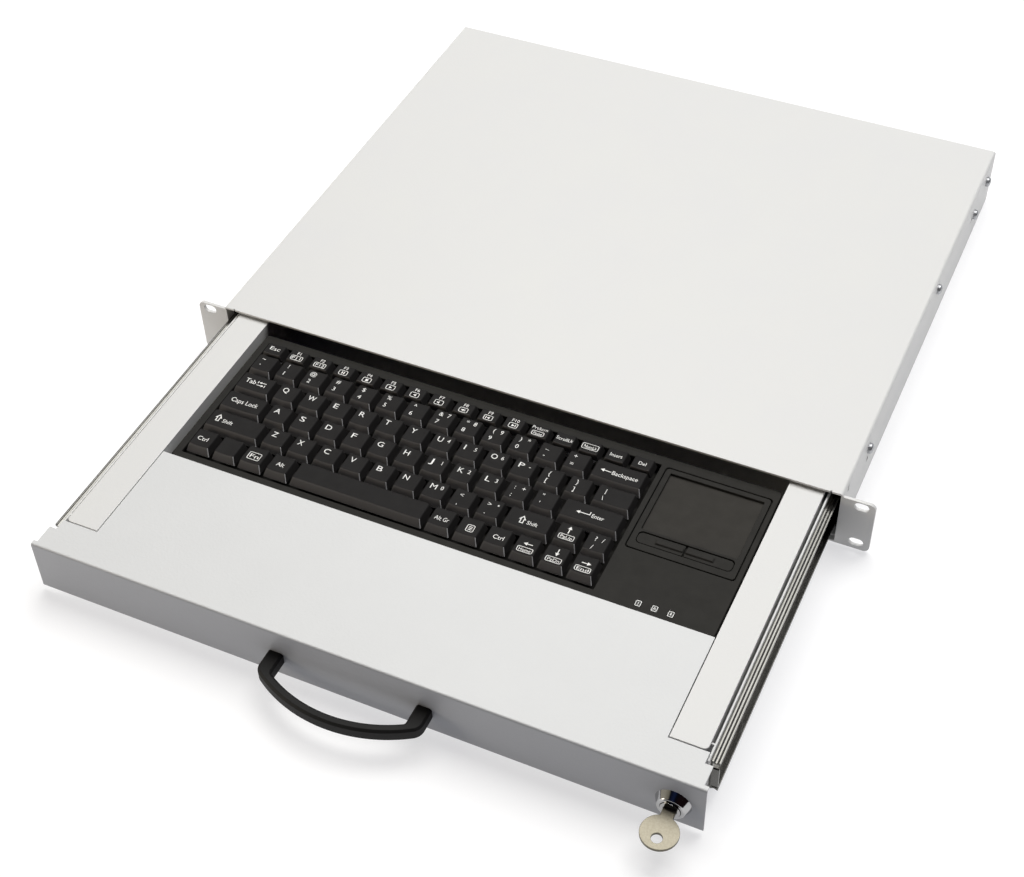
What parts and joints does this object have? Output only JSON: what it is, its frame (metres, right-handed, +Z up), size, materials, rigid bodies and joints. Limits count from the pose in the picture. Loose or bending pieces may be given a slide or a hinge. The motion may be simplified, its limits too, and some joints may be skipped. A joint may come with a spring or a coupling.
{
  "type": "rack keyboard drawer",
  "caption": "Rack drawer for a nineteen-inch cabinet: ball slides carry a locking front, a bow handle, a palm rest and a compact keyboard with a touchpad.",
  "frame": {"origin": "centre of the four ear slots, on the ears' front plane", "axes": "+X right as seen from the front, +Y to the back of the rack, +Z up"},
  "size_m": [0.4826, 0.6432, 0.044],
  "materials": {
    "painted_steel": "light grey paint, fine texture",
    "zinc_steel": "bright zinc plate",
    "chrome": "polished plate",
    "black_case": "fine grained black",
    "keycaps": "satin black",
    "handle_plastic": "grained black",
    "board": "green solder mask",
    "mat_rubber": "pale silicone",
    "foot_rubber": "black rubber",
    "lens": "smoked window"
  },
  "bodies": {
    "housing": {"housing_shell": "painted_steel", "base_plate": "painted_steel", "rear_panel": "painted_steel", "side_screws": "zinc_steel", "base_screws": "zinc_steel", "cabinet_rail_left": "zinc_steel", "cabinet_rail_right": "zinc_steel", "lock_strike": "zinc_steel"},
    "drawer": {"palm_rest": "painted_steel", "keyboard_pan": "painted_steel", "side_cover_left": "painted_steel", "side_cover_right": "painted_steel", "drawer_rail_left": "zinc_steel", "drawer_rail_right": "zinc_steel", "side_cover_screws": "zinc_steel", "drawer_rail_screws": "zinc_steel", "handle_screws": "zinc_steel", "lock_nut": "zinc_steel", "lock_body": "chrome", "keyboard_lower_case": "black_case", "keyboard_upper_case": "black_case", "key_guide_plate": "black_case", "touchpad_frame": "black_case", "touchpad_plate": "black_case", "bow_handle": "handle_plastic", "circuit_board": "board", "touchpad_board": "board", "dome_mat": "mat_rubber", "keyboard_feet": "foot_rubber", "indicator_lenses": "lens"},
    "ball_cages": {"ball_cage_left": "zinc_steel", "ball_cage_right": "zinc_steel", "balls_left": "chrome", "balls_right": "chrome"},
    "lock": {"lock_plug": "chrome", "lock_cam": "zinc_steel", "cam_screw": "zinc_steel", "lock_key": "chrome"},
    "key_space": {"key_space": "keycaps"},
    "key_enter": {"key_enter": "keycaps"},
    "key_backspace": {"key_backspace": "keycaps"},
    "key_tab": {"key_tab": "keycaps"},
    "key_caps_lock": {"key_caps_lock": "keycaps"},
    "key_shift_left": {"key_shift_left": "keycaps"},
    "key_shift_right": {"key_shift_right": "keycaps"},
    "key_slash": {"key_slash": "keycaps"},
    "key_up": {"key_up": "keycaps"},
    "key_left": {"key_left": "keycaps"},
    "key_down": {"key_down": "keycaps"},
    "key_right": {"key_right": "keycaps"},
    "keys_function_row": {"keys_function_row": "keycaps"},
    "keys_number_row": {"keys_number_row": "keycaps"},
    "keys_upper_row": {"keys_upper_row": "keycaps"},
    "keys_home_row": {"keys_home_row": "keycaps"},
    "keys_lower_row": {"keys_lower_row": "keycaps"},
    "keys_bottom_left": {"keys_bottom_left": "keycaps"},
    "keys_bottom_right": {"keys_bottom_right": "keycaps"},
    "pad_button_left": {"pad_button_left": "keycaps"},
    "pad_button_right": {"pad_button_right": "keycaps"}
  },
  "joints": [
    {"name": "drawer_slide", "type": "slide", "parent": "housing", "child": "drawer", "axis": [0, -1, 0], "range_m": [-0.2312, 0]},
    {"name": "cage_slide", "type": "slide", "parent": "housing", "child": "ball_cages", "axis": [0, -1, 0], "range_m": [-0.1156, 0]},
    {"name": "lock_turn", "type": "hinge", "parent": "drawer", "child": "lock", "pos_m": [0.1994, -0.2312, -0.0026], "axis": [0, -1, 0], "range_deg": [0, 90]},
    {"name": "press_space", "type": "slide", "parent": "drawer", "child": "key_space", "axis": [0, 0, -1], "range_m": [0, 0.003], "stiffness_N_per_m": 200, "springref_m": -0.0015},
    {"name": "press_enter", "type": "slide", "parent": "drawer", "child": "key_enter", "axis": [0, 0, -1], "range_m": [0, 0.003], "stiffness_N_per_m": 200, "springref_m": -0.0015},
    {"name": "press_backspace", "type": "slide", "parent": "drawer", "child": "key_backspace", "axis": [0, 0, -1], "range_m": [0, 0.003], "stiffness_N_per_m": 200, "springref_m": -0.0015},
    {"name": "press_tab", "type": "slide", "parent": "drawer", "child": "key_tab", "axis": [0, 0, -1], "range_m": [0, 0.003], "stiffness_N_per_m": 200, "springref_m": -0.0015},
    {"name": "press_caps_lock", "type": "slide", "parent": "drawer", "child": "key_caps_lock", "axis": [0, 0, -1], "range_m": [0, 0.003], "stiffness_N_per_m": 200, "springref_m": -0.0015},
    {"name": "press_shift_left", "type": "slide", "parent": "drawer", "child": "key_shift_left", "axis": [0, 0, -1], "range_m": [0, 0.003], "stiffness_N_per_m": 200, "springref_m": -0.0015},
    {"name": "press_shift_right", "type": "slide", "parent": "drawer", "child": "key_shift_right", "axis": [0, 0, -1], "range_m": [0, 0.003], "stiffness_N_per_m": 200, "springref_m": -0.0015},
    {"name": "press_slash", "type": "slide", "parent": "drawer", "child": "key_slash", "axis": [0, 0, -1], "range_m": [0, 0.003], "stiffness_N_per_m": 200, "springref_m": -0.0015},
    {"name": "press_up", "type": "slide", "parent": "drawer", "child": "key_up", "axis": [0, 0, -1], "range_m": [0, 0.003], "stiffness_N_per_m": 200, "springref_m": -0.0015},
    {"name": "press_left", "type": "slide", "parent": "drawer", "child": "key_left", "axis": [0, 0, -1], "range_m": [0, 0.003], "stiffness_N_per_m": 200, "springref_m": -0.0015},
    {"name": "press_down", "type": "slide", "parent": "drawer", "child": "key_down", "axis": [0, 0, -1], "range_m": [0, 0.003], "stiffness_N_per_m": 200, "springref_m": -0.0015},
    {"name": "press_right", "type": "slide", "parent": "drawer", "child": "key_right", "axis": [0, 0, -1], "range_m": [0, 0.003], "stiffness_N_per_m": 200, "springref_m": -0.0015},
    {"name": "row_function_row", "type": "slide", "parent": "drawer", "child": "keys_function_row", "axis": [0, 0, -1], "range_m": [0, 0.003], "stiffness_N_per_m": 3200, "springref_m": -0.0015},
    {"name": "row_number_row", "type": "slide", "parent": "drawer", "child": "keys_number_row", "axis": [0, 0, -1], "range_m": [0, 0.003], "stiffness_N_per_m": 2600, "springref_m": -0.0015},
    {"name": "row_upper_row", "type": "slide", "parent": "drawer", "child": "keys_upper_row", "axis": [0, 0, -1], "range_m": [0, 0.003], "stiffness_N_per_m": 2600, "springref_m": -0.0015},
    {"name": "row_home_row", "type": "slide", "parent": "drawer", "child": "keys_home_row", "axis": [0, 0, -1], "range_m": [0, 0.003], "stiffness_N_per_m": 2200, "springref_m": -0.0015},
    {"name": "row_lower_row", "type": "slide", "parent": "drawer", "child": "keys_lower_row", "axis": [0, 0, -1], "range_m": [0, 0.003], "stiffness_N_per_m": 1800, "springref_m": -0.0015},
    {"name": "row_bottom_left", "type": "slide", "parent": "drawer", "child": "keys_bottom_left", "axis": [0, 0, -1], "range_m": [0, 0.003], "stiffness_N_per_m": 800, "springref_m": -0.0015},
    {"name": "row_bottom_right", "type": "slide", "parent": "drawer", "child": "keys_bottom_right", "axis": [0, 0, -1], "range_m": [0, 0.003], "stiffness_N_per_m": 600, "springref_m": -0.0015},
    {"name": "press_button_left", "type": "slide", "parent": "drawer", "child": "pad_button_left", "axis": [0, 0, -1], "range_m": [0, 0.0008], "stiffness_N_per_m": 600, "springref_m": -0.0008},
    {"name": "press_button_right", "type": "slide", "parent": "drawer", "child": "pad_button_right", "axis": [0, 0, -1], "range_m": [0, 0.0008], "stiffness_N_per_m": 600, "springref_m": -0.0008}
  ],
  "couplings": [
    {"joint": "cage_slide", "follows": "drawer_slide", "ratio": 0.5}
  ]
}
